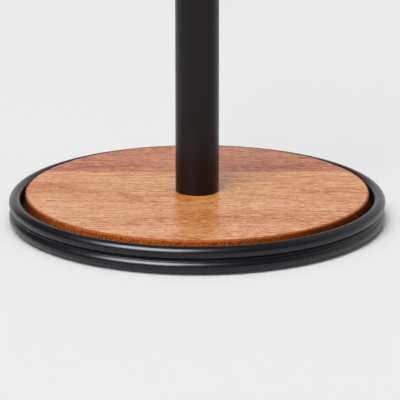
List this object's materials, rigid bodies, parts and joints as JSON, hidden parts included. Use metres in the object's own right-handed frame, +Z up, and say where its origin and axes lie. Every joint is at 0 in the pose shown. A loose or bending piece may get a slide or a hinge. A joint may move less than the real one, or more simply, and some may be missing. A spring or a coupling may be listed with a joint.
{
  "type": "paper towel holder",
  "caption": "Free-standing paper towel holder: a straight round post screwed to a round base, with a wooden deck set inside a rim of stacked round steel bars.",
  "frame": {"origin": "on the counter, at the centre of the base", "axes": "+Z up the post, +X to the right and +Y to the back as the picture shows it, with the grain of the wood along X"},
  "size_m": [0.165, 0.165, 0.33],
  "materials": {
    "black_coated_steel": "satin black powder coat",
    "wood_rear": "oiled, satin, red-brown",
    "wood_middle_rear": "oiled, satin, honey",
    "wood_middle_front": "oiled, satin, honey",
    "wood_front": "oiled, satin, honey",
    "zinc_steel": "zinc plated",
    "washer_fibre": "vulcanised fibre",
    "cap_plastic": "moulded, fine grain",
    "foot_rubber": "moulded, matt"
  },
  "bodies": {
    "base": {"upper_rim_ring": "black_coated_steel", "lower_rim_ring": "black_coated_steel", "base_plate": "black_coated_steel", "rim_welds": "black_coated_steel", "deck_stave_1": "wood_rear", "deck_stave_2": "wood_middle_rear", "deck_stave_3": "wood_middle_front", "deck_stave_4": "wood_front", "deck_screws": "zinc_steel", "rubber_foot_1": "foot_rubber", "rubber_foot_2": "foot_rubber", "rubber_foot_3": "foot_rubber", "rubber_foot_4": "foot_rubber", "clamp_bolt": "zinc_steel", "lock_washer": "zinc_steel", "flat_washer": "zinc_steel"},
    "washer": {"foot_washer": "washer_fibre"},
    "post": {"post_tube": "black_coated_steel", "post_plug": "zinc_steel", "post_cap": "cap_plastic"}
  },
  "joints": [
    {"name": "post_rise", "type": "slide", "parent": "base", "child": "washer", "axis": [0, 0, 1], "range_m": [0, 0.0093]},
    {"name": "post_turn", "type": "hinge", "parent": "washer", "child": "post", "pos_m": [0, 0, 0.0135], "axis": [0, 0, 1], "range_deg": [0, 3348]}
  ],
  "couplings": [
    {"joint": "post_rise", "follows": "post_turn", "m_per_rad": 0.00015915}
  ]
}
